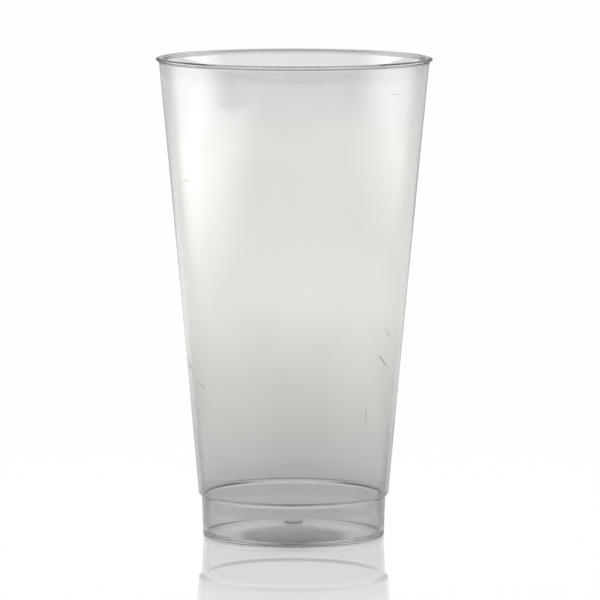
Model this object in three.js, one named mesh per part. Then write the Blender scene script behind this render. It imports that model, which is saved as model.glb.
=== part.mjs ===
// Clear plastic tumbler: one moulded piece, turned about +Z, standing on z = 0. Millimetres.
// A tapered wall rises from a stepped base to an outward lip. The step makes a ledge inside,
// and the foot of a second tumbler rests on that ledge when the two are stacked.
import * as THREE from 'three';

// Overall
const height = 146;
const rimDiameter = 84; // across the lip

// Side wall
const wallThickness = 0.95; // measured square to the axis
const wallBow = 0.18; // the wall flares: it lies this far inside a straight taper at mid height

// Lip and rim
const lipOverhang = 1; // how far the lip stands out from the wall
const lipRise = 0.85; // height of the lip's sloping underside
const lipLand = 0.25; // height of the lip's upright edge
const lipDrop = 0.4; // from the top of the rim down to that edge
const lipEdgeRadius = 0.12;
const lipFootRadius = 0.6; // where the underside runs into the wall
const crownSetback = 0.9; // from the lip's edge in to the rim's flat crown
const crownRadius = 0.5;
const rimInnerRadius = 0.2;

// Stepped base
const footDiameter = 55.2; // at the foot, before the heel is rounded
const heelRadius = 0.25;
const baseDraft = 2.25; // degrees
const baseWall = 1; // at the floor, inside the foot
const shoulderHeight = 13; // from the foot to the stacking ledge
const shoulderDrop = 1.1; // height of the sloping shoulder outside
const shoulderFootRadius = 0.6;
const shoulderTopRadius = 0.4;
const ledgeEdgeRadius = 0.15;
const ledgeFilletRadius = 0.35; // between the ledge and the wall above it

// Fit of a second tumbler on the ledge
const nestGap = 0.45; // between its foot and the wall round the ledge
const stackBearing = 0.35; // width of its foot that the ledge carries

// Floor
const floorThickness = 0.8;
const floorRise = 3; // the floor is domed up so that the tumbler stands on its foot ring alone
const footRingWidth = 2.65;
const footRecess = 0.4; // from the foot ring up to the edge of the dome
const floorCornerRadius = 0.8;

// Gate mark in the middle of the floor: a shallow well below, with the stub left by the sprue
const gateDiameter = 5.4;
const gateDepth = 0.35;
const stubDiameter = 1.4;
const stubLength = 0.25;

// Facets
const turnSteps = 80;
const arcSteps = 3;
const bowSteps = 4;

const rimRadius = rimDiameter / 2;
const footRadius = footDiameter / 2;
const footFlatRadius = footRadius - heelRadius;
const domeRadius = footFlatRadius - footRingWidth;
const wellRadius = footRadius - baseWall;
const gateRadius = gateDiameter / 2;
const stubRadius = stubDiameter / 2;

const shoulderFoot = shoulderHeight - shoulderDrop;
const baseTopRadius = footRadius + shoulderFoot * Math.tan(THREE.MathUtils.degToRad(baseDraft));
const ledgeOuterRadius = footRadius + nestGap;
const ledgeInnerRadius = footFlatRadius - stackBearing;
const shoulderRadius = ledgeOuterRadius + wallThickness;

const wallTopRadius = rimRadius - lipOverhang;
const lipTop = height - lipDrop;
const lipFoot = lipTop - lipLand;
const wallTopHeight = lipFoot - lipRise;
const rimInside = wallTopRadius - wallThickness;

const domeRise = floorRise - footRecess;
const domeHeight = (radius) => footRecess + domeRise * (1 - (radius / domeRadius) ** 2);
const domeBow = domeRise * ((domeRadius - gateRadius) / (2 * domeRadius)) ** 2;
const wellBow = floorRise * ((wellRadius - gateRadius) / (2 * wellRadius)) ** 2;
const gateCeiling = domeHeight(gateRadius) + gateDepth;

// A corner of the outline. radius rounds it; bow bends the edge that leads to it, to its left
// as the outline runs, by that much at the middle.
const corner = (x, y, { radius = 0, bow = 0 } = {}) => ({ at: new THREE.Vector2(x, y), radius, bow });

function roundedCorner(before, { at, radius }, after) {
  const back = before.at.clone().sub(at).normalize();
  const ahead = after.at.clone().sub(at).normalize();
  const halfAngle = Math.acos(back.dot(ahead)) / 2;
  const middle = back.clone().add(ahead).normalize();
  const centre = at.clone().addScaledVector(middle, radius / Math.sin(halfAngle));
  const tangent = radius / Math.tan(halfAngle);
  const start = at.clone().addScaledVector(back, tangent).sub(centre).angle();
  const end = at.clone().addScaledVector(ahead, tangent).sub(centre).angle();
  const clockwise = back.cross(ahead) > 0;
  const arc = new THREE.EllipseCurve(centre.x, centre.y, radius, radius, start, end, clockwise);
  return arc.getPoints(arcSteps);
}

function bowedEdge(from, to, bow) {
  const along = to.clone().sub(from).normalize();
  const left = new THREE.Vector2(-along.y, along.x);
  const control = from.clone().lerp(to, 0.5).addScaledVector(left, 2 * bow);
  return new THREE.QuadraticBezierCurve(from, control, to).getPoints(bowSteps).slice(1, -1);
}

function outline(corners) {
  const points = [];
  corners.forEach((point, i) => {
    const bend = point.radius ? roundedCorner(corners[i - 1], point, corners[i + 1]) : [point.at];
    if (point.bow) points.push(...bowedEdge(points.at(-1), bend[0], point.bow));
    points.push(...bend);
  });
  return points;
}

const underside = [
  corner(0, gateCeiling - stubLength),
  corner(stubRadius, gateCeiling - stubLength),
  corner(stubRadius, gateCeiling),
  corner(gateRadius, gateCeiling),
  corner(gateRadius, domeHeight(gateRadius)),
  corner(domeRadius, footRecess, { bow: domeBow }),
  corner(domeRadius, 0),
];

const outside = [
  corner(footRadius, 0, { radius: heelRadius }),
  corner(baseTopRadius, shoulderFoot, { radius: shoulderFootRadius }),
  corner(shoulderRadius, shoulderHeight, { radius: shoulderTopRadius }),
  corner(wallTopRadius, wallTopHeight, { radius: lipFootRadius, bow: wallBow }),
  corner(rimRadius, lipFoot, { radius: lipEdgeRadius }),
  corner(rimRadius, lipTop, { radius: lipEdgeRadius }),
  corner(rimRadius - crownSetback, height, { radius: crownRadius }),
];

const inside = [
  corner(rimInside, height, { radius: rimInnerRadius }),
  corner(rimInside, wallTopHeight),
  corner(ledgeOuterRadius, shoulderHeight, { radius: ledgeFilletRadius, bow: -wallBow }),
  corner(ledgeInnerRadius, shoulderHeight, { radius: ledgeEdgeRadius }),
  corner(wellRadius, floorThickness, { radius: floorCornerRadius }),
  corner(gateRadius, domeHeight(gateRadius) + floorThickness, { bow: -wellBow }),
  corner(gateRadius, gateCeiling + floorThickness),
  corner(0, gateCeiling + floorThickness),
];

const clearPlastic = new THREE.MeshStandardMaterial({
  color: 0xe4e7e9,
  roughness: 0.06,
  metalness: 0,
  transparent: true,
  opacity: 0.35,
});

const tumbler = new THREE.Mesh(
  new THREE.LatheGeometry(outline([...underside, ...outside, ...inside]), turnSteps),
  clearPlastic,
);
tumbler.name = 'tumbler';
tumbler.rotation.x = Math.PI / 2;

const part = new THREE.Group();
part.add(tumbler);

export default part;
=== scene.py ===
import math

import bpy
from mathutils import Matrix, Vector


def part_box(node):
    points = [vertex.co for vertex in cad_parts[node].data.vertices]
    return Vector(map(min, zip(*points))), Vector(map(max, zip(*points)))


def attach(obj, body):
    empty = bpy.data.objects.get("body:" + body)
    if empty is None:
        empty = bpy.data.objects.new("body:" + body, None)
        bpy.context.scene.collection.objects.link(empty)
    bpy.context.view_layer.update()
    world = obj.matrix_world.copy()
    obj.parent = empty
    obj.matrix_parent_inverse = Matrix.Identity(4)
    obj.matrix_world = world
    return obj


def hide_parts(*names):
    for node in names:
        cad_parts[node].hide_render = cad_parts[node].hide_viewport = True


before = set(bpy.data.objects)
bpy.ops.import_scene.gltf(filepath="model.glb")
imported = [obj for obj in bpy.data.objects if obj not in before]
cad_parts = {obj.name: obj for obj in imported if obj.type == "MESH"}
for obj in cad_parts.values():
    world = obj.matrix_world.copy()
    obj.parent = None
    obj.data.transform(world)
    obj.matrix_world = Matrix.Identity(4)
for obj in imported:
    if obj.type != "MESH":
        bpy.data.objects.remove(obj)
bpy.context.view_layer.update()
mm = 0.001


class Wire:
    # one socket of a node tree; sums on it add Math nodes
    def __init__(self, tree, socket=None):
        self.tree = tree
        self.socket = socket

    def node(self, kind, settings=None, sockets=None, out=0):
        made = self.tree.nodes.new(kind)
        for name, value in (settings or {}).items():
            if name == "stops":
                self.setStops(made.color_ramp, value)
            else:
                setattr(made, name, value)
        for name, value in (sockets or {}).items():
            if isinstance(value, Wire):
                self.tree.links.new(value.socket, made.inputs[name])
            else:
                made.inputs[name].default_value = value
        return Wire(self.tree, made.outputs[out] if len(made.outputs) else None)

    def setStops(self, ramp, stops):
        while len(ramp.elements) < len(stops):
            ramp.elements.new(1.0)
        for element, (place, colour) in zip(ramp.elements, stops):
            element.position = place
            element.color = colour

    def math(self, operation, *values):
        return self.node("ShaderNodeMath", {"operation": operation}, dict(enumerate(values)))

    def vectorMath(self, operation, *values, out="Vector"):
        return self.node("ShaderNodeVectorMath", {"operation": operation}, dict(enumerate(values)), out)

    def axis(self, name):
        return self.node("ShaderNodeSeparateXYZ", None, {0: self}, name)

    def size(self):
        return self.math("ABSOLUTE", self)

    def larger(self, other):
        return self.math("MAXIMUM", self, other)

    def ramp(self, low, high, start, end):
        return self.node("ShaderNodeMapRange", {"interpolation_type": "SMOOTHSTEP"}, {
            "Value": self, "From Min": low, "From Max": high, "To Min": start, "To Max": end})

    def band(self, first, full, last, end):
        return self.ramp(first, full, 0.0, 1.0) * self.ramp(last, end, 1.0, 0.0)

    def noise(self, size, detail=2.0):
        return self.node("ShaderNodeTexNoise", None, {"Vector": self, "Scale": 1 / size, "Detail": detail})

    def mix(self, share, above):
        # this colour, with a share of another laid over it
        return self.node("ShaderNodeMix", {"data_type": "RGBA"}, {"Factor": share, 6: self, 7: above}, 2)

    def __add__(self, other):
        return self.math("ADD", self, other)

    def __sub__(self, other):
        return self.math("SUBTRACT", self, other)

    def __rsub__(self, other):
        return self.math("SUBTRACT", other, self)

    def __mul__(self, other):
        return self.math("MULTIPLY", self, other)

    def __truediv__(self, other):
        return self.math("DIVIDE", self, other)

    def __mod__(self, other):
        return self.math("MODULO", self, other)

    __radd__ = __add__
    __rmul__ = __mul__


def emptyTree(owner):
    owner.use_nodes = True
    owner.node_tree.nodes.clear()
    return Wire(owner.node_tree)


def addObject(name, data):
    made = bpy.data.objects.new(name, data)
    bpy.context.collection.objects.link(made)
    return made


# The tumbler's outline, as corners from the middle of the underside, out, up and back inside
tumblerShape = {
    "wall": 0.95 * mm,
    "wallBow": 0.18 * mm,
    "lipOverhang": 1.0 * mm,
    "lipRise": 0.85 * mm,
    "lipLand": 0.25 * mm,
    "lipDrop": 0.4 * mm,
    "lipRound": 0.12 * mm,
    "lipFootRound": 0.6 * mm,
    "crownSetback": 0.9 * mm,
    "crownRound": 0.5 * mm,
    "rimInnerRound": 0.2 * mm,
    "footRadius": 27.6 * mm,
    "heelRound": 0.25 * mm,
    "baseDraft": 2.25,          # degrees
    "baseWall": 1.0 * mm,
    "shoulderHeight": 13.0 * mm,
    "shoulderDrop": 1.1 * mm,
    "shoulderFootRound": 0.6 * mm,
    "shoulderTopRound": 0.4 * mm,
    "nestGap": 0.45 * mm,
    "stackBearing": 0.35 * mm,
    "ledgeRound": 0.15 * mm,
    "ledgeFillet": 0.35 * mm,
    "floor": 0.8 * mm,
    "floorRise": 3.0 * mm,
    "footRing": 2.65 * mm,
    "footRecess": 0.4 * mm,
    "footRecessRound": 0.12 * mm,
    "floorRound": 0.8 * mm,
    "gateRadius": 2.7 * mm,
    "gateDepth": 0.35 * mm,
    "gateRound": 0.12 * mm,
    "stubRadius": 0.7 * mm,
    "stubLength": 0.25 * mm,
    "stubRound": 0.06 * mm,
    "turnSteps": 224,
    "arcSteps": 7,
    "bowSteps": 10,
    "holdPoint": 0.1 * mm,      # extra point beside each rounding, keeps flats flat when shaded
    "shortEdge": 0.4 * mm,      # edges shorter than this do without
    "mergeDistance": 0.001 * mm,
}


def roundedCorner(before, corner, after, radius, steps):
    back = (before - corner).normalized()
    ahead = (after - corner).normalized()
    halfAngle = back.angle(ahead) / 2
    reach = radius / math.tan(halfAngle)
    centre = corner + (back + ahead).normalized() * (radius / math.sin(halfAngle))
    start = corner + back * reach - centre
    sweep = start.angle_signed(corner + ahead * reach - centre)
    points = []
    for step in range(steps + 1):
        turn = -sweep * step / steps
        c, s = math.cos(turn), math.sin(turn)
        points.append(centre + Vector((start.x * c - start.y * s, start.x * s + start.y * c)))
    return points


def bowedEdge(start, end, bow, steps):
    along = (end - start).normalized()
    control = (start + end) / 2 + Vector((-along.y, along.x)) * 2 * bow
    points = []
    for step in range(1, steps):
        t = step / steps
        points.append(start * (1 - t) ** 2 + control * 2 * t * (1 - t) + end * t ** 2)
    return points


def edgePoints(start, end, bow, shape):
    hold = shape["holdPoint"]
    between = bowedEdge(start, end, bow, shape["bowSteps"]) if bow else []
    if (end - start).length < shape["shortEdge"]:
        return between
    first = (between[0] if between else end) - start
    last = (between[-1] if between else start) - end
    return [start + first.normalized() * hold, *between, end + last.normalized() * hold]


def traceOutline(corners, shape):
    places = [Vector(corner[:2]) for corner in corners]
    points = []
    for i, (_, _, radius, bow) in enumerate(corners):
        if radius:
            stretch = roundedCorner(places[i - 1], places[i], places[i + 1], radius, shape["arcSteps"])
        else:
            stretch = [places[i]]
        if points:
            points += edgePoints(points[-1], stretch[0], bow, shape)
        points += stretch
    return points


def tumblerOutline(shape):
    low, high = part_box("tumbler")
    rim = high.x
    height = high.z - low.z
    foot = shape["footRadius"]
    footFlat = foot - shape["heelRound"]
    dome = footFlat - shape["footRing"]
    gate = shape["gateRadius"]
    shoulder = shape["shoulderHeight"]
    shoulderFoot = shoulder - shape["shoulderDrop"]
    baseTop = foot + shoulderFoot * math.tan(math.radians(shape["baseDraft"]))
    ledgeOuter = foot + shape["nestGap"]
    lipTop = height - shape["lipDrop"]
    lipFoot = lipTop - shape["lipLand"]
    wallTop = lipFoot - shape["lipRise"]
    wallTopRadius = rim - shape["lipOverhang"]
    inside = wallTopRadius - shape["wall"]
    recess = shape["footRecess"]
    well = foot - shape["baseWall"]
    rise = shape["floorRise"]
    domeAtGate = recess + (rise - recess) * (1 - (gate / dome) ** 2)
    domeBow = (rise - recess) * ((dome - gate) / (2 * dome)) ** 2
    wellBow = rise * ((well - gate) / (2 * well)) ** 2
    gateTop = domeAtGate + shape["gateDepth"]
    stubFoot = gateTop - shape["stubLength"]
    floor = shape["floor"]

    # x, z, rounding of the corner, bow of the edge that leads to it
    corners = [
        (0, stubFoot, 0, 0),
        (shape["stubRadius"], stubFoot, shape["stubRound"], 0),
        (shape["stubRadius"], gateTop, shape["stubRound"], 0),
        (gate, gateTop, shape["gateRound"], 0),
        (gate, domeAtGate, shape["gateRound"], 0),
        (dome, recess, shape["footRecessRound"], domeBow),
        (dome, 0, shape["footRecessRound"], 0),
        (foot, 0, shape["heelRound"], 0),
        (baseTop, shoulderFoot, shape["shoulderFootRound"], 0),
        (ledgeOuter + shape["wall"], shoulder, shape["shoulderTopRound"], 0),
        (wallTopRadius, wallTop, shape["lipFootRound"], shape["wallBow"]),
        (rim, lipFoot, shape["lipRound"], 0),
        (rim, lipTop, shape["lipRound"], 0),
        (rim - shape["crownSetback"], height, shape["crownRound"], 0),
        (inside, height, shape["rimInnerRound"], 0),
        (inside, wallTop, 0, 0),
        (ledgeOuter, shoulder, shape["ledgeFillet"], -shape["wallBow"]),
        (footFlat - shape["stackBearing"], shoulder, shape["ledgeRound"], 0),
        (well, floor, shape["floorRound"], 0),
        (gate, domeAtGate + floor, shape["gateRound"], -wellBow),
        (gate, gateTop + floor, shape["gateRound"], 0),
        (0, gateTop + floor, 0, 0),
    ]
    return traceOutline(corners, shape)


def turningTree():
    tree = bpy.data.node_groups.new("turnedOutline", "GeometryNodeTree")
    sockets = {}
    for name, kind in (("Outline", "Geometry"), ("Turn Steps", "Int"),
                       ("Merge Distance", "Float"), ("Finish", "Material")):
        made = tree.interface.new_socket(name=name, in_out="INPUT", socket_type="NodeSocket" + kind)
        sockets[name] = made.identifier
    tree.interface.new_socket(name="Turned", in_out="OUTPUT", socket_type="NodeSocketGeometry")

    entry = tree.nodes.new("NodeGroupInput")
    given = {name: Wire(tree, entry.outputs[name]) for name in sockets}
    add = Wire(tree).node

    # a sheet with one column of points for each turn step, bent round the axis
    count = add("GeometryNodeAttributeDomainSize", {"component": "MESH"}, {0: given["Outline"]})
    sheet = add("GeometryNodeMeshGrid", None, {
        "Vertices X": given["Turn Steps"] + 1,
        "Vertices Y": count,
    })
    index = add("GeometryNodeInputIndex")
    column = index.math("FLOOR", index / count)
    angle = column / given["Turn Steps"] * math.tau
    place = add("GeometryNodeSampleIndex", {"data_type": "FLOAT_VECTOR", "domain": "POINT"}, {
        "Geometry": given["Outline"],
        "Value": add("GeometryNodeInputPosition"),
        "Index": index % count,
    })
    radius = place.axis("X")
    turned = add("ShaderNodeCombineXYZ", None, {
        "X": radius * angle.math("COSINE", angle),
        "Y": radius * angle.math("SINE", angle),
        "Z": place.axis("Z"),
    })
    shell = add("GeometryNodeSetPosition", None, {"Geometry": sheet, "Position": turned})
    shell = add("GeometryNodeMergeByDistance", None,
                {"Geometry": shell, "Distance": given["Merge Distance"]})
    shell = add("GeometryNodeSetShadeSmooth", None, {0: shell})
    shell = add("GeometryNodeRealizeInstances", None, {0: shell})
    shell = add("GeometryNodeSetMaterial", None, {"Geometry": shell, "Material": given["Finish"]})
    leave = tree.nodes.new("NodeGroupOutput")
    tree.links.new(shell.socket, leave.inputs["Turned"])
    return tree, sockets


def makeTumbler(shape, finish):
    points = tumblerOutline(shape)
    mesh = bpy.data.meshes.new("tumblerOutline")
    edges = [(i, i + 1) for i in range(len(points) - 1)]
    mesh.from_pydata([(p.x, 0, p.y) for p in points], edges, [])
    outline = addObject("tumblerOutline", mesh)

    tree, sockets = turningTree()
    turn = outline.modifiers.new("turn", "NODES")
    turn.node_group = tree
    turn[sockets["Turn Steps"]] = shape["turnSteps"]
    turn[sockets["Merge Distance"]] = shape["mergeDistance"]
    turn[sockets["Finish"]] = finish

    graph = bpy.context.evaluated_depsgraph_get()
    body = bpy.data.meshes.new_from_object(outline.evaluated_get(graph))
    body.name = "clear_tumbler"
    bpy.data.objects.remove(outline)
    print("tumbler:", len(points), "outline points,", len(body.polygons), "faces")
    return addObject("clear_tumbler", body)


plasticFinish = {
    # height, and the painted shade of one wall there: darker towards the base, with painted light in the
    # paler bands
    "shadingByHeight": [
        (0 * mm, (0.20, 0.21, 0.23)),
        (0.45 * mm, (0.30, 0.31, 0.33)),
        (0.65 * mm, (0.85, 0.85, 0.85)),
        (1.4 * mm, (0.85, 0.85, 0.85)),
        (1.8 * mm, (0.66, 0.66, 0.655)),
        (4 * mm, (0.66, 0.66, 0.655)),
        (5 * mm, (0.73, 0.73, 0.725)),
        (7.6 * mm, (0.73, 0.73, 0.725)),
        (8.6 * mm, (0.65, 0.65, 0.645)),
        (10.5 * mm, (0.61, 0.61, 0.605)),
        (11.5 * mm, (0.61, 0.61, 0.605)),
        (11.8 * mm, (0.86, 0.86, 0.86)),
        (12.5 * mm, (0.86, 0.86, 0.86)),
        (12.8 * mm, (0.605, 0.605, 0.60)),
        (16 * mm, (0.625, 0.625, 0.62)),
        (19.5 * mm, (0.672, 0.672, 0.667)),
        (24 * mm, (0.695, 0.695, 0.685)),
        (36 * mm, (0.748, 0.747, 0.731)),
        (44 * mm, (0.782, 0.78, 0.763)),
        (52 * mm, (0.82, 0.818, 0.80)),
        (60 * mm, (0.862, 0.859, 0.841)),
        (70 * mm, (0.912, 0.907, 0.885)),
        (121 * mm, (0.895, 0.892, 0.876)),
        (139.5 * mm, (0.845, 0.845, 0.84)),
        (141.5 * mm, (0.79, 0.79, 0.79)),
        (143 * mm, (0.775, 0.775, 0.78)),
        (144.3 * mm, (0.775, 0.775, 0.78)),
        (144.6 * mm, (0.71, 0.71, 0.715)),
        (145.65 * mm, (0.71, 0.71, 0.715)),
        (146 * mm, (0.5, 0.51, 0.535)),
    ],
    # the same painted shade and light on the lip, from the foot of its underside to the crown
    "lipShadingByHeight": [
        (144.4 * mm, (0.72, 0.72, 0.74)),
        (144.8 * mm, (0.57, 0.58, 0.61)),
        (145.3 * mm, (0.57, 0.58, 0.61)),
        (145.38 * mm, (1.0, 1.0, 1.0)),
        (145.56 * mm, (1.0, 1.0, 1.0)),
        (145.65 * mm, (0.62, 0.63, 0.65)),
        (146 * mm, (0.62, 0.63, 0.65)),
    ],
    "lipEdge": (40.9 * mm, 41.2 * mm),      # the lip starts at this radius
    "lipFoot": (144.7 * mm, 145.0 * mm),
    "crown": (145.65 * mm, 145.75 * mm),
    "crownDepth": 0.6,                      # how dark the painted shade on the outer edge of the crown is
    "crownTurn": (0.54, 0.68),              # until it turns this far away
    "crownSide": 0.42,                      # share of rimSide that the whole crown gets
    "rimLineShade": (0.13, 0.135, 0.145, 1), # painted shade: a dark line just below the crown, inside the mouth
    "rimLine": (145.18 * mm, 145.28 * mm, 145.5 * mm, 145.75 * mm),
    "rimLineTurn": (0.1, 0.35),
    "rimLineLeft": 0.25,                    # what is left of the line where it turns away
    "rimSide": (0.6, 0.88),                 # painted shade: the rim is darker still where it turns edge on
    "rimSideDepth": 0.9,
    "rimSideShade": (0.057, 0.062, 0.085, 1),
    "rimSideRoughness": 0.45,
    "floorTint": (0.95, 0.95, 0.955, 1),
    "floorEdge": (25.2 * mm, 26.2 * mm),
    "ledgeShade": (0.04, 0.04, 0.045, 1),    # painted shade: a dark line on the fillet round the ledge
    "ledge": (12.9 * mm, 13.0 * mm, 13.25 * mm, 13.36 * mm),
    "ledgeEdge": (27.35 * mm, 27.55 * mm, 28.3 * mm, 28.5 * mm),
    "ledgeTurn": (0.25, 0.55),
    "ledgeWithin": 0.35,                    # how much paler it is from inside the plastic
    "gateShade": (0.3, 0.3, 0.305, 1),       # painted shade on the wall of the gate mark
    "gateEdge": (2.2 * mm, 2.5 * mm, 2.75 * mm, 3.0 * mm),
    "cornerShade": (0.5, 0.5, 0.505, 1),     # painted shade on the fillet round the floor
    "corner": (1.7 * mm, 2.3 * mm),
    "cornerEdge": (25.5 * mm, 25.8 * mm, 26.75 * mm, 26.95 * mm),
    "edgeShade": (0.11, 0.11, 0.115, 1),     # painted shade on the lower wall, where it turns edge on
    "edge": (0.62, 0.76),                   # from 0, square to the view, to 1, edge on
    "baseEdge": (0.95, 0.6),                # how dark, below the step and above it
    "baseEdgeAt": (11 * mm, 14 * mm),
    "side": (0.30, 0.55),                   # the base darkens sooner, by sideDepth
    "sideDepth": 0.17,
    "edgeFade": (16 * mm, 45 * mm),
    "footEdge": (1 * mm, 5 * mm),           # it fades again towards the foot
    "footEdgeLeft": 0.2,
    "absorbed": (0.60, 0.61, 0.62, 1),
    "density": 25.0,
    "roughness": 0.03,
    "ior": 1.59,
}

# Marks of use. Scuffs are strokes on the outside: degrees round from the front, height of the
# middle, length, width, lean from level, and how much they show
wear = {
    "scuffs": {
        "upperLeftCurl": (-60.5, 109.9 * mm, 8.4 * mm, 0.7 * mm, 4.5, 0.5),
        "leftDot": (-80.6, 54.5 * mm, 2.4 * mm, 1.3 * mm, -48, 0.5),
        "leftLong": (-75.1, 52.1 * mm, 10.5 * mm, 1.0 * mm, -12.8, 0.45),
        "leftShort": (-61.0, 47.6 * mm, 6.2 * mm, 1.0 * mm, -20.6, 0.6),
        "leftSpeck": (-70.9, 41.0 * mm, 1.8 * mm, 1.2 * mm, -60, 0.7),
        "leftNick": (-69.1, 38.5 * mm, 2.2 * mm, 1.4 * mm, -70, 0.6),
        "rightUpper": (58.2, 63.7 * mm, 6.4 * mm, 0.8 * mm, -45.7, 0.65),
        "rightLower": (55.8, 55.4 * mm, 7.4 * mm, 0.9 * mm, -39.2, 0.8),
        "rightDotted": (44.0, 39.4 * mm, 5.2 * mm, 0.7 * mm, -84.8, 0.6),
        "rightScratch": (48.8, 136.7 * mm, 3.8 * mm, 0.55 * mm, -2.2, 0.6),
    },
    "scuffTint": (0.02, 0.02, 0.022, 1),
    "scuffRoughness": 0.3,
    "scuffTaper": 0.25,         # a stroke fades from this share of its length, off the middle
    "scuffFace": 0.6,           # share of the wall's thickness that counts as its outer face
    "scuffFaceBlend": 0.02 * mm,
    "breakSize": 0.9 * mm,      # the strokes are broken at this size
    "breakShare": (0.35, 0.5),
    "breakLeft": 0.45,
    "cloudSize": 30 * mm,
    "cloudShare": (0.3, 0.7),
    "cloudDepth": 0.025,
    "speckSize": 1.2 * mm,
    "speckShare": (0.735, 0.78),
    "speckDepth": 0.25,
    "hairLength": 14 * mm,
    "hairWidth": 0.35 * mm,
    "hairShare": (0.66, 0.74),
    "hairRoughness": 0.025,
    "wavySize": 16 * mm,
    "wavyHeight": 0.01 * mm,
}


def readPlace(tree, finish):
    # where on the tumbler, how far turned from square to the view, and whether seen from
    # inside the plastic
    place = tree.node("ShaderNodeTexCoord", None, None, "Object")
    x, y, height = (place.axis(name) for name in "XYZ")
    level = tree.node("ShaderNodeCombineXYZ", None, {"X": x, "Y": y})
    radius = level.vectorMath("LENGTH", level, out="Value")
    return {
        "place": place,
        "height": height,
        "radius": radius,
        "around": x.math("ARCTAN2", x, y * -1),
        "turned": tree.node("ShaderNodeLayerWeight", None, None, "Facing"),
        "within": tree.node("ShaderNodeNewGeometry", None, None, "Backfacing"),
        "lip": radius.ramp(*finish["lipEdge"], 0.0, 1.0),
        "floor": radius.ramp(*finish["floorEdge"], 1.0, 0.0),
    }


def byHeight(height, shadingByHeight):
    low, high = shadingByHeight[0][0], shadingByHeight[-1][0]
    stops = [((at - low) / (high - low), (*colour, 1)) for at, colour in shadingByHeight]
    return height.node("ShaderNodeValToRGB", {"stops": stops}, {0: (height - low) / (high - low)})


# painted shade and light on the rim: the lip's bands by height, a dark line inside the mouth below the
# crown, and darker edges where the rim turns edge on
def paintRimShading(paintedShading, spot, finish):
    height, turned, lip = spot["height"], spot["turned"], spot["lip"]
    outer = 1 - spot["within"]
    crown = height.ramp(*finish["crown"], 0.0, 1.0)
    paintedShading = paintedShading.mix(lip, byHeight(height, finish["lipShadingByHeight"]))

    rimLine = height.band(*finish["rimLine"]) * (1 - lip) * outer
    rimLine = rimLine * turned.ramp(*finish["rimLineTurn"], 1.0, finish["rimLineLeft"])
    paintedShading = paintedShading.mix(rimLine, finish["rimLineShade"])

    rim = (lip * height.ramp(*finish["lipFoot"], 0.0, 1.0)).larger(crown * finish["crownSide"])
    rimSide = rim * turned.ramp(*finish["rimSide"], 0.0, 1.0) * outer
    crownEdge = lip * crown * outer * turned.ramp(*finish["crownTurn"], finish["crownDepth"], 0.0)
    paintedShading = paintedShading.mix(crownEdge.larger(rimSide * finish["rimSideDepth"]), finish["rimSideShade"])
    return paintedShading, rimSide


# painted shade on the base: the line round the ledge, the lower wall where it turns edge on, the gate
# mark's wall and the fillet round the floor; the floor itself gets its own paler colour
def paintBaseShading(paintedShading, spot, finish):
    height, radius, turned, floor = (spot[name] for name in ("height", "radius", "turned", "floor"))
    ledge = height.band(*finish["ledge"]) * radius.band(*finish["ledgeEdge"])
    ledge = ledge * (1 - spot["within"] * finish["ledgeWithin"])
    paintedShading = paintedShading.mix(ledge * turned.ramp(*finish["ledgeTurn"], 1.0, 0.0), finish["ledgeShade"])

    edge = turned.ramp(*finish["edge"], 0.0, 1.0)
    edge = edge * height.ramp(*finish["baseEdgeAt"], *finish["baseEdge"])
    side = turned.ramp(*finish["side"], 0.0, finish["sideDepth"])
    side = side * height.ramp(*finish["baseEdgeAt"], 1.0, 0.0)
    edge = edge.larger(side) * (1 - floor)
    edge = edge * height.ramp(*finish["footEdge"], finish["footEdgeLeft"], 1.0)
    paintedShading = paintedShading.mix(edge * height.ramp(*finish["edgeFade"], 1.0, 0.0), finish["edgeShade"])

    paintedShading = paintedShading.mix(floor, finish["floorTint"])
    paintedShading = paintedShading.mix(radius.band(*finish["gateEdge"]), finish["gateShade"])
    corner = height.ramp(*finish["corner"], 1.0, 0.0) * radius.band(*finish["cornerEdge"])
    return paintedShading.mix(corner, finish["cornerShade"])


def scuffMask(spot, wear):
    mask = spot["around"] * 0.0
    for angle, middle, length, width, lean, depth in wear["scuffs"].values():
        sideways = (spot["around"] - math.radians(angle)) * spot["radius"]
        up = spot["height"] - middle
        c, s = math.cos(math.radians(lean)), math.sin(math.radians(lean))
        along = (sideways * c + up * s).size()
        across = (up * c - sideways * s).size()
        stroke = along.ramp(wear["scuffTaper"] * length, length / 2, depth, 0.0)
        mask = mask.larger(stroke * across.ramp(0.0, width / 2, 1.0, 0.0))
    return mask


def outsideMask(spot, wear, shape):
    # 1 on the outer face of the wall, 0 on its inner face
    low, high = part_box("tumbler")
    shoulder = shape["shoulderHeight"]
    foot = shape["footRadius"] + shape["nestGap"] + shape["wall"]
    taper = (high.x - shape["lipOverhang"] - foot) / (high.z - low.z - shoulder)
    start = (spot["height"] - shoulder) * taper + foot - wear["scuffFace"] * shape["wall"]
    return spot["radius"].ramp(start, start + wear["scuffFaceBlend"], 0.0, 1.0)


def useMarks(spot, wear, shape):
    place = spot["place"]
    broken = place.noise(wear["breakSize"]).ramp(*wear["breakShare"], wear["breakLeft"], 1.0)
    scuffs = scuffMask(spot, wear) * outsideMask(spot, wear, shape) * broken
    specks = place.noise(wear["speckSize"]).ramp(*wear["speckShare"], 0.0, wear["speckDepth"])
    clouds = place.noise(wear["cloudSize"]).ramp(*wear["cloudShare"], 0.0, wear["cloudDepth"])
    return scuffs, scuffs.larger((specks + clouds) * (1 - spot["floor"]))


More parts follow.
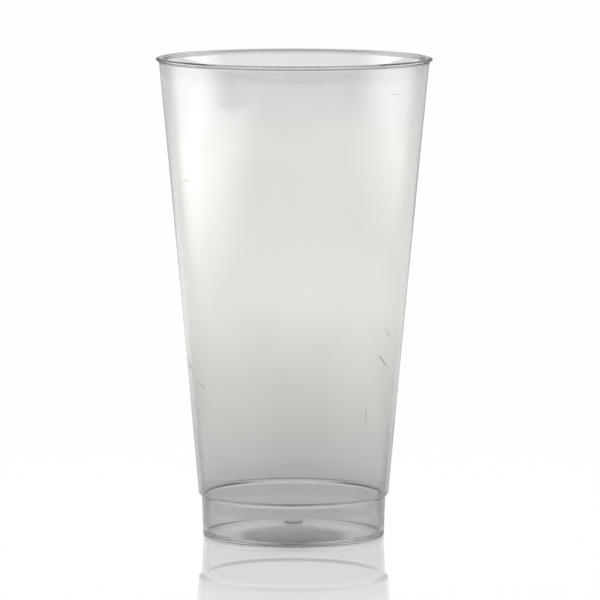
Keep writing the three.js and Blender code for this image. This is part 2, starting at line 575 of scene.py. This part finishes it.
def clearPlastic(finish, wear, shape):
    made = bpy.data.materials.new("clearPlastic")
    tree = emptyTree(made)
    spot = readPlace(tree, finish)
    # the Base Color: painted shade and light by height, then on the rim and on the base
    paintedShading, rimSide = paintRimShading(byHeight(spot["height"], finish["shadingByHeight"]), spot, finish)
    paintedShading = paintBaseShading(paintedShading, spot, finish)
    scuffs, marks = useMarks(spot, wear, shape)

    unrolled = tree.node("ShaderNodeCombineXYZ", None, {
        "X": spot["around"] * spot["radius"] / wear["hairLength"],
        "Y": spot["height"] / wear["hairWidth"],
    })
    hairs = unrolled.noise(1.0).ramp(*wear["hairShare"], 0.0, wear["hairRoughness"])
    worn = scuffs * wear["scuffRoughness"] + rimSide * finish["rimSideRoughness"] + hairs
    waves = tree.node("ShaderNodeBump", None, {
        "Strength": 1.0,
        "Distance": wear["wavyHeight"],
        "Height": spot["place"].noise(wear["wavySize"], detail=0.0),
    })

    surface = tree.node("ShaderNodeBsdfPrincipled", None, {
        "Base Color": paintedShading.mix(marks, wear["scuffTint"]),
        "Roughness": worn + finish["roughness"],
        "IOR": finish["ior"],
        "Transmission Weight": 1.0,
        "Normal": waves,
    })
    depth = tree.node("ShaderNodeVolumeAbsorption", None, {
        "Color": finish["absorbed"],
        "Density": finish["density"],
    })
    tree.node("ShaderNodeOutputMaterial", None, {"Surface": surface, "Volume": depth})
    print("clear plastic:", len(made.node_tree.nodes), "nodes,", len(wear["scuffs"]), "scuffs")
    return made


tumbler = makeTumbler(tumblerShape, clearPlastic(plasticFinish, wear, tumblerShape))
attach(tumbler, "root")
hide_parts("tumbler")

stageLook = {
    "floorRadius": 7.0,
    "floorSteps": 96,
    "floorGap": 0.02 * mm,      # below the foot, so that the foot's flat still meets air
    "floorColour": (0.9, 0.9, 0.9, 1),
    "shownShare": 0.985,        # how much of the floor's white doesn't depend on the light
    "mirroredShare": 0.1,       # and how much of it the mirrored rays see
    "sideGlow": 1.0,            # more of it beside the tumbler
    "sideGlowAt": (170 * mm, -50 * mm, 0),
    "sideGlowReach": (65 * mm, 150 * mm),
    "backGlow": (0.7, 0.35),    # and behind it, on the left and on the right
    "backGlowWidth": 200 * mm,
    "backGlowFrom": (100 * mm, 400 * mm),
    "backGlowTo": (550 * mm, 900 * mm),
    "backGlowLeft": 0.25,       # share that is left further back
    "shadeAt": (0, -5 * mm, 0), # under the tumbler the floor is in its shade
    "shadeStretch": (1.4, 1, 1),
    "shadeReach": (19 * mm, 25.5 * mm),
    "shadeDepth": 0.89,
    "mirrorIor": 2.9,
    "mirrorGain": 1.3,
    "mirrorRoughness": 0.006,
    "mirrorReach": (30 * mm, 260 * mm),     # the polish fades away from the tumbler
    "mirrorFar": 0.25,
    "worldFill": 0.22,
    "ceiling": 0.55,            # the room above the backdrop is dim
    "ceilingBand": (24, 32, 52, 66),        # degrees above level, but not straight above
    "ceilingWidth": (0.2, 0.5), # nor far to the sides
    "lightBounces": 24,
}


def shownRays(tree, mirroredShare):
    camera, mirrored, through = (tree.node("ShaderNodeLightPath", None, None, "Is " + kind + " Ray")
                                 for kind in ("Camera", "Glossy", "Transmission"))
    return camera.larger(mirrored * mirroredShare).larger(through)


def floorFinish(look):
    made = bpy.data.materials.new("paleFloor")
    tree = emptyTree(made)
    place = tree.node("ShaderNodeTexCoord", None, None, "Object")
    x, y = (place.axis(name) for name in "XY")

    folded = tree.node("ShaderNodeCombineXYZ", None, {"X": x.size(), "Y": y})
    beside = folded.vectorMath("DISTANCE", folded, look["sideGlowAt"], out="Value")
    beside = beside.ramp(*look["sideGlowReach"], look["sideGlow"], look["mirroredShare"])
    behind = x.ramp(-look["backGlowWidth"], look["backGlowWidth"], *look["backGlow"])
    behind = behind * y.ramp(*look["backGlowFrom"], 0.0, 1.0)
    behind = behind * y.ramp(*look["backGlowTo"], 1.0, look["backGlowLeft"])

    stretched = place.vectorMath("MULTIPLY", place, look["shadeStretch"])
    under = stretched.vectorMath("DISTANCE", stretched, look["shadeAt"], out="Value")
    clear = 1 - under.ramp(*look["shadeReach"], look["shadeDepth"], 0.0)
    pale = tree.node("ShaderNodeMixShader", None, {
        0: shownRays(tree, beside.larger(behind)) * clear * look["shownShare"],
        1: tree.node("ShaderNodeBsdfDiffuse", None, {"Color": look["floorColour"]}),
        2: tree.node("ShaderNodeEmission"),
    })

    away = place.vectorMath("LENGTH", place, out="Value")
    polish = away.ramp(*look["mirrorReach"], 1.0, look["mirrorFar"])
    fresnel = tree.node("ShaderNodeFresnel", None, {"IOR": look["mirrorIor"]})
    mirrored = tree.node("ShaderNodeLightPath", None, None, "Is Glossy Ray")
    gloss = tree.node("ShaderNodeBsdfAnisotropic", {"distribution": "MULTI_GGX"}, {
        "Color": (1, 1, 1, 1),
        "Roughness": look["mirrorRoughness"],
    })
    top = tree.node("ShaderNodeMixShader", None, {
        0: fresnel * polish * (1 - mirrored) * look["mirrorGain"],
        1: pale,
        2: gloss,
    })
    tree.node("ShaderNodeOutputMaterial", None, {"Surface": top})
    return made


def makeFloor(look):
    mesh = bpy.data.meshes.new("floor")
    radius, steps = look["floorRadius"], look["floorSteps"]
    angles = [math.tau * step / steps for step in range(steps)]
    ring = [(radius * math.cos(angle), radius * math.sin(angle), 0) for angle in angles]
    mesh.from_pydata(ring, [], [list(range(steps))])
    mesh.materials.append(floorFinish(look))
    floor = addObject("floor", mesh)
    floor.location.z = -look["floorGap"]


def makeWorld(look):
    world = bpy.data.worlds.new("studio")
    bpy.context.scene.world = world
    tree = emptyTree(world)
    direction = tree.node("ShaderNodeTexCoord", None, None, "Generated")
    sideways, upward = (direction.axis(name) for name in "XZ")
    heights = [math.sin(math.radians(degrees)) for degrees in look["ceilingBand"]]
    dim = upward.band(*heights) * sideways.size().ramp(*look["ceilingWidth"], 1.0, 0.0)
    room = 1 - dim * (1 - look["ceiling"])
    shown = shownRays(tree, 1.0)
    sky = tree.node("ShaderNodeBackground", None, {
        "Color": shown * room + (1 - shown) * look["worldFill"],
    })
    tree.node("ShaderNodeOutputWorld", None, {"Surface": sky})


# Soft upright panels beside the tumbler, in metres. Their ends along y, their brightest place
# and their glow are given below the waist, between it and the neck, and above the neck
panelShape = {
    "waist": (0.084, 0.092),
    "neck": (0.11, 0.135),
    "slant": 0.16,              # both fall towards the near end, by this share of the way
    "slantFrom": -0.085,        # from here
    "peak": (0.02, -0.03, 0.02),
    "top": 0.30,
    "fade": 0.12,               # below the top
}
panels = {
    "leftPanel": {
        "side": -0.2,
        "near": (-0.46, -0.15, -0.09),
        "far": (0.16, 0.16, 0.24),
        "foot": 0.026,
        "rise": 0.053,          # above the foot
        "glow": (3.8, 4.7, 3.8),
    },
    "rightPanel": {
        "side": 0.2,
        "near": (-0.30, -0.19, -0.09),
        "far": (0.14, 0.14, 0.28),
        "foot": 0.042,
        "rise": 0.072,
        "glow": (3.3, 3.6, 3.3),
    },
}


def panelFinish(name, panel):
    made = bpy.data.materials.new(name)
    tree = emptyTree(made)
    place = tree.node("ShaderNodeTexCoord", None, None, "Object")
    along, up = place.axis("Y"), place.axis("Z")
    level = up + (panel["slantFrom"] - along).larger(0.0) * panel["slant"]

    def byLevel(lower, middle, upper):
        further = level.ramp(*panel["neck"], 0.0, upper - middle)
        return level.ramp(*panel["waist"], lower, middle) + further

    peak = byLevel(*panel["peak"])
    nearSide = along.ramp(byLevel(*panel["near"]), peak, 0.0, 1.0)
    farSide = along.ramp(peak, byLevel(*panel["far"]), 1.0, 0.0)
    lower = up.ramp(panel["foot"], panel["foot"] + panel["rise"], 0.0, 1.0)
    upper = up.ramp(panel["top"] - panel["fade"], panel["top"], 1.0, 0.0)
    light = tree.node("ShaderNodeEmission", None, {
        "Color": nearSide * farSide * lower * upper * byLevel(*panel["glow"]),
    })
    glow = tree.node("ShaderNodeAddShader", None, {0: light, 1: tree.node("ShaderNodeBsdfTransparent")})
    tree.node("ShaderNodeOutputMaterial", None, {"Surface": glow})
    return made


def makePanel(name, panel):
    x = panel["side"]
    near, far = min(panel["near"]), max(panel["far"])
    low, high = panel["foot"], panel["top"]
    mesh = bpy.data.meshes.new(name)
    corners = [(x, near, low), (x, far, low), (x, far, high), (x, near, high)]
    mesh.from_pydata(corners if x < 0 else corners[::-1], [], [(0, 1, 2, 3)])
    mesh.materials.append(panelFinish(name, panel))
    box = addObject(name, mesh)
    box.visible_camera = False
    box.visible_transmission = False
    box.visible_shadow = False


makeFloor(stageLook)
makeWorld(stageLook)
for name, panel in panels.items():
    makePanel(name, {**panelShape, **panel})
print("studio: floor, backdrop and", len(panels), "panels")

# Places in metres, tilt and roll in degrees
cameraSetup = {
    "distance": 1.6985,
    "height": 0.2604,
    "sideways": 0.00158,
    "tilt": 6.332,
    "roll": -0.085,
    "focalPixels": 5608.9,
    "framePixels": 600,
    "sensor": 36,
}


def makeCamera(setup):
    data = bpy.data.cameras.new("camera")
    data.sensor_width = setup["sensor"]
    data.lens = setup["focalPixels"] / setup["framePixels"] * setup["sensor"]
    camera = addObject("camera", data)
    camera.location = (setup["sideways"], -setup["distance"], setup["height"])
    camera.rotation_euler = (math.radians(90 - setup["tilt"]), math.radians(setup["roll"]), 0)
    bpy.context.scene.camera = camera
    print("camera:", round(data.lens, 1), "mm lens")


makeCamera(cameraSetup)
bpy.context.scene.view_settings.view_transform = "Standard"
cycles = bpy.context.scene.cycles
cycles.max_bounces = stageLook["lightBounces"]
cycles.glossy_bounces = stageLook["lightBounces"]
cycles.transmission_bounces = stageLook["lightBounces"]
